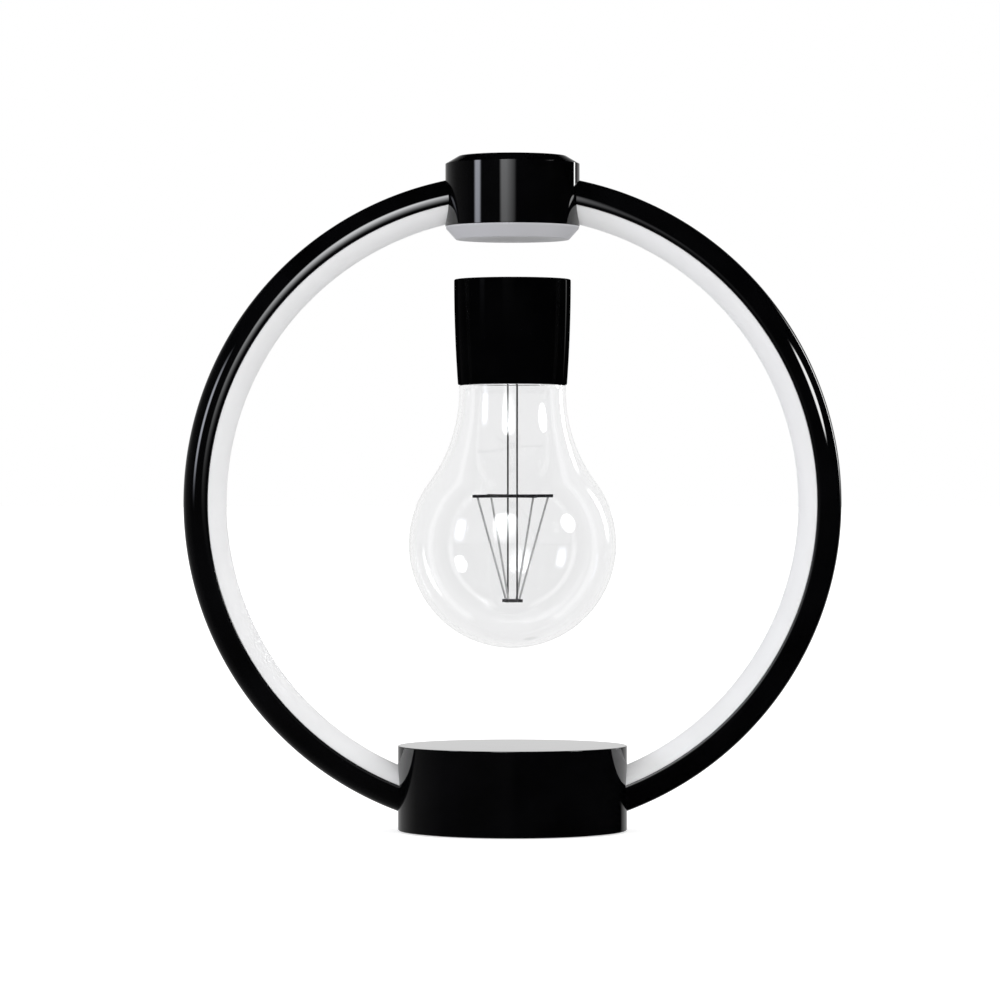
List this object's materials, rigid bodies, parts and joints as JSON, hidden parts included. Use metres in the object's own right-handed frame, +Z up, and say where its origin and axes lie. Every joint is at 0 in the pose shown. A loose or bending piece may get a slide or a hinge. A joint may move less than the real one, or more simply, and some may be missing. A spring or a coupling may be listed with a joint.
{
  "type": "levitating light bulb lamp",
  "caption": "Upright ring lamp on a round base: a magnet hub at the top of the ring holds a clear bulb with a black cap floating in the air beneath it.",
  "frame": {"origin": "on the table under the middle of the base", "axes": "+Z up, the ring stands in the XZ plane, and the front of the lamp faces -Y"},
  "size_m": [0.19, 0.0662, 0.1946],
  "materials": {
    "black_gloss": "gloss",
    "black_satin": "satin",
    "white_diffuser": "satin",
    "white_cover": "satin",
    "clear_glass": "polished",
    "dark_wire": "satin",
    "filament": "matte",
    "steel": "satin",
    "nickel": "polished",
    "copper": "satin",
    "green_board": "satin",
    "black_matte": "matte",
    "black_rubber": "matte",
    "pale_strip": "satin"
  },
  "bodies": {
    "lamp_frame": {"base_housing": "black_gloss", "base_bottom_cover": "black_matte", "foot_pad": "black_rubber", "base_weight": "steel", "base_screws": "steel", "control_board": "green_board", "board_parts": "black_matte", "board_screws": "steel", "power_inlet": "black_matte", "inlet_pin": "steel", "switch_board": "green_board", "button_switch": "black_matte", "left_channel": "black_gloss", "right_channel": "black_gloss", "left_diffuser": "white_diffuser", "right_diffuser": "white_diffuser", "left_light_strip": "pale_strip", "right_light_strip": "pale_strip", "feed_cables": "black_matte", "hub_housing": "black_gloss", "hub_cover": "white_cover", "magnet_core": "steel", "coil_bobbin": "black_matte", "magnet_coil": "copper", "yoke_plate": "steel", "sensor_board": "green_board", "power_coil": "copper"},
    "float_carrier": {"levitation_magnet": "nickel"},
    "bulb": {"bulb_cap": "black_satin", "magnet_cup": "white_cover", "receiver_coil": "copper", "rectifier_board": "green_board", "rectifier_parts": "black_matte", "neck_plug": "white_cover", "bulb_glass": "clear_glass", "lead_wires": "dark_wire", "upper_cross": "dark_wire", "lower_cross": "dark_wire", "led_filaments": "filament"},
    "button": {"power_button": "black_gloss", "switch_plunger": "steel"}
  },
  "joints": [
    {"name": "bulb_float", "type": "slide", "parent": "lamp_frame", "child": "float_carrier", "axis": [0, 0, 1], "range_m": [-0.0278, 0.0111], "stiffness_N_per_m": 100, "springref_m": 0.00719},
    {"name": "bulb_spin", "type": "hinge", "parent": "float_carrier", "child": "bulb", "pos_m": [0, 0, 0.15], "axis": [0, 0, 1], "continuous": true},
    {"name": "button_press", "type": "slide", "parent": "lamp_frame", "child": "button", "axis": [-0.4152, -0.9097, 0], "range_m": [0, 0.001], "stiffness_N_per_m": 300, "springref_m": -0.001}
  ]
}
